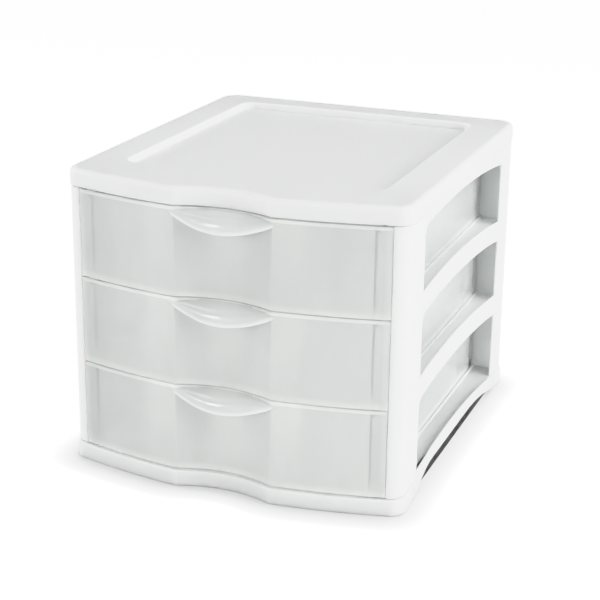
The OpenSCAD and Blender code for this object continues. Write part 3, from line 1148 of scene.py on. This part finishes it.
class BOX_OT_studio(bpy.types.Operator):
    """Sets the pale floor, the soft lights and the camera"""

    bl_idname = "drawer_box.studio"
    bl_label = "Studio"
    bl_options = {"REGISTER", "UNDO"}

    def execute(self, context):
        scene = context.scene
        s = scene.box_studio
        bpy.ops.object.select_all(action="DESELECT")
        bpy.ops.mesh.primitive_plane_add(size=s.floor_size)
        floor = context.object
        floor.name = "studio_floor"
        floor.data.materials.append(self.pale_floor(s))
        self.sky(scene, s)
        for name, place, size, setting in LIGHTS:
            self.light(name, place, size, getattr(s, setting))
        self.camera(scene, s)
        self.print_tones(scene.view_settings)
        # semi-clear walls stand one behind the other, so light needs many bounces
        scene.cycles.max_bounces = 32
        scene.cycles.diffuse_bounces = 8
        scene.cycles.transmission_bounces = 24
        return {"FINISHED"}

    def pale_floor(self, s):
        """A floor that looks white but throws little light onto the box, with a soft shadow."""
        material = bpy.data.materials.new("Pale floor")
        material.use_nodes = True
        tree = material.node_tree
        link = tree.links.new
        surface = tree.nodes["Principled BSDF"].inputs
        surface["Roughness"].default_value = FLOOR_ROUGHNESS
        seen = shader_node(tree, "ShaderNodeLightPath")
        link(seen.outputs["Is Camera Ray"], surface["Emission Strength"])
        # painted soft shadow: ambient occlusion near the box darkens the floor's colour and glow
        near = shader_node(tree, "ShaderNodeAmbientOcclusion", Distance=s.shadow_reach)
        near.samples = SHADOW_SAMPLES
        x, y, z = SHADOW_TIP
        tip = shader_node(tree, "ShaderNodeCombineXYZ", X=x, Y=y, Z=z)
        link(tip.outputs[0], near.inputs["Normal"])
        fall = shader_node(tree, "ShaderNodeMath", "POWER")
        fall.inputs[1].default_value = s.shadow_fall
        link(near.outputs["AO"], fall.inputs[0])
        for shaded, clear, socket in (
            (s.shadow_colour, s.floor_colour, "Base Color"),
            (s.shadow_glow, s.floor_glow, "Emission Color"),
        ):
            blend = shader_node(tree, "ShaderNodeMix")
            blend.data_type = "RGBA"
            blend.inputs["A"].default_value = (*shaded, 1)
            blend.inputs["B"].default_value = (*clear, 1)
            link(fall.outputs[0], blend.inputs["Factor"])
            link(blend.outputs["Result"], surface[socket])
        return material

    def sky(self, scene, s):
        """Light from all round, strongest at the horizon and nearly none from straight above."""
        world = bpy.data.worlds.new("Studio sky")
        world.use_nodes = True
        tree = world.node_tree
        way = shader_node(tree, "ShaderNodeTexCoord")
        parts = shader_node(tree, "ShaderNodeSeparateXYZ")
        tree.links.new(way.outputs["Generated"], parts.inputs[0])
        # from the horizon at 0 to straight above at 1
        fall = shader_node(
            tree, "ShaderNodeMapRange", From_Min=0, From_Max=1, To_Min=s.sky, To_Max=s.sky_top
        )
        fall.interpolation_type = "SMOOTHSTEP"
        tree.links.new(parts.outputs["Z"], fall.inputs["Value"])
        background = tree.nodes["Background"].inputs
        background["Color"].default_value = (1, 1, 1, 1)
        tree.links.new(fall.outputs[0], background["Strength"])
        scene.world = world

    def print_tones(self, view):
        """Plain tones with a soft shoulder, so that the white plastic keeps its shading."""
        view.view_transform = "Standard"
        view.use_curve_mapping = True
        tones = view.curve_mapping
        tones.white_level = (BRIGHTEST, BRIGHTEST, BRIGHTEST)
        tones.extend = "HORIZONTAL"
        curve = tones.curves[3].points  # the curve that all three colours share
        for light, shown in SHOULDER:
            curve.new(light / BRIGHTEST, shown)
        tones.update()

    def light(self, name, place, size, watts):
        """A square light that looks at the middle of the box."""
        bpy.ops.object.light_add(type="AREA", location=place)
        lamp = bpy.context.object
        lamp.name = name
        lamp.data.shape = "SQUARE"
        lamp.data.size = size
        lamp.data.energy = watts
        aim = Vector((0, 0, TOP_HIGH.z / 2)) - Vector(place)
        lamp.rotation_euler = aim.to_track_quat("-Z", "Y").to_euler()

    def camera(self, scene, s):
        """The camera at the photograph's viewing angle, three quarters from the right."""
        yaw, pitch, roll = (math.radians(turn) for turn in CAMERA_TURNS)
        back = Vector(
            (math.sin(yaw) * math.cos(pitch), -math.cos(yaw) * math.cos(pitch), math.sin(pitch))
        )
        right = Vector((math.cos(yaw), math.sin(yaw), 0))
        up = back.cross(right)
        turned = Matrix((right, up, back)).transposed() @ Matrix.Rotation(roll, 3, "Z")
        bpy.ops.object.camera_add(location=CAMERA_PLACE)
        camera = bpy.context.object
        camera.name = "camera"
        camera.rotation_euler = turned.to_euler()
        camera.data.lens = s.lens
        camera.data.sensor_width = SENSOR_WIDTH
        camera.data.shift_y = s.shift
        scene.camera = camera


class BOX_PT_panel(bpy.types.Panel):
    """Sizes and colours of the drawer box, and a button for each group of pieces"""

    bl_idname = "BOX_PT_panel"
    bl_label = "Drawer box"
    bl_space_type = "VIEW_3D"
    bl_region_type = "UI"
    bl_category = "Drawer box"

    def draw(self, context):
        for group in ("box_plan", "box_frame", "box_drawer", "box_studio"):
            settings = getattr(context.scene, group)
            column = self.layout.box().column()
            for name in settings.__annotations__:
                column.prop(settings, name)
        for maker in MAKERS:
            self.layout.operator(maker.bl_idname)


MAKERS = (
    BOX_OT_top_panel,
    BOX_OT_base_panel,
    BOX_OT_side_frames,
    BOX_OT_back_panel,
    BOX_OT_drawers,
    BOX_OT_studio,
)
SETTINGS = {
    "box_plan": BoxPlanSettings,
    "box_frame": BoxFrameSettings,
    "box_drawer": BoxDrawerSettings,
    "box_studio": BoxStudioSettings,
}


def register():
    for kind in (*SETTINGS.values(), *MAKERS, BOX_PT_panel):
        bpy.utils.register_class(kind)
    for name, kind in SETTINGS.items():
        setattr(bpy.types.Scene, name, bpy.props.PointerProperty(type=kind))


def unregister():
    for name in SETTINGS:
        delattr(bpy.types.Scene, name)
    for kind in (BOX_PT_panel, *reversed(MAKERS), *reversed(SETTINGS.values())):
        bpy.utils.unregister_class(kind)


def main():
    register()
    bpy.ops.object.select_all(action="DESELECT")
    bpy.ops.drawer_box.top_panel()
    bpy.ops.drawer_box.base_panel()
    bpy.ops.drawer_box.side_frames()
    bpy.ops.drawer_box.back_panel()
    bpy.ops.drawer_box.drawers()
    bpy.ops.drawer_box.studio()


if __name__ == "__main__":
    main()
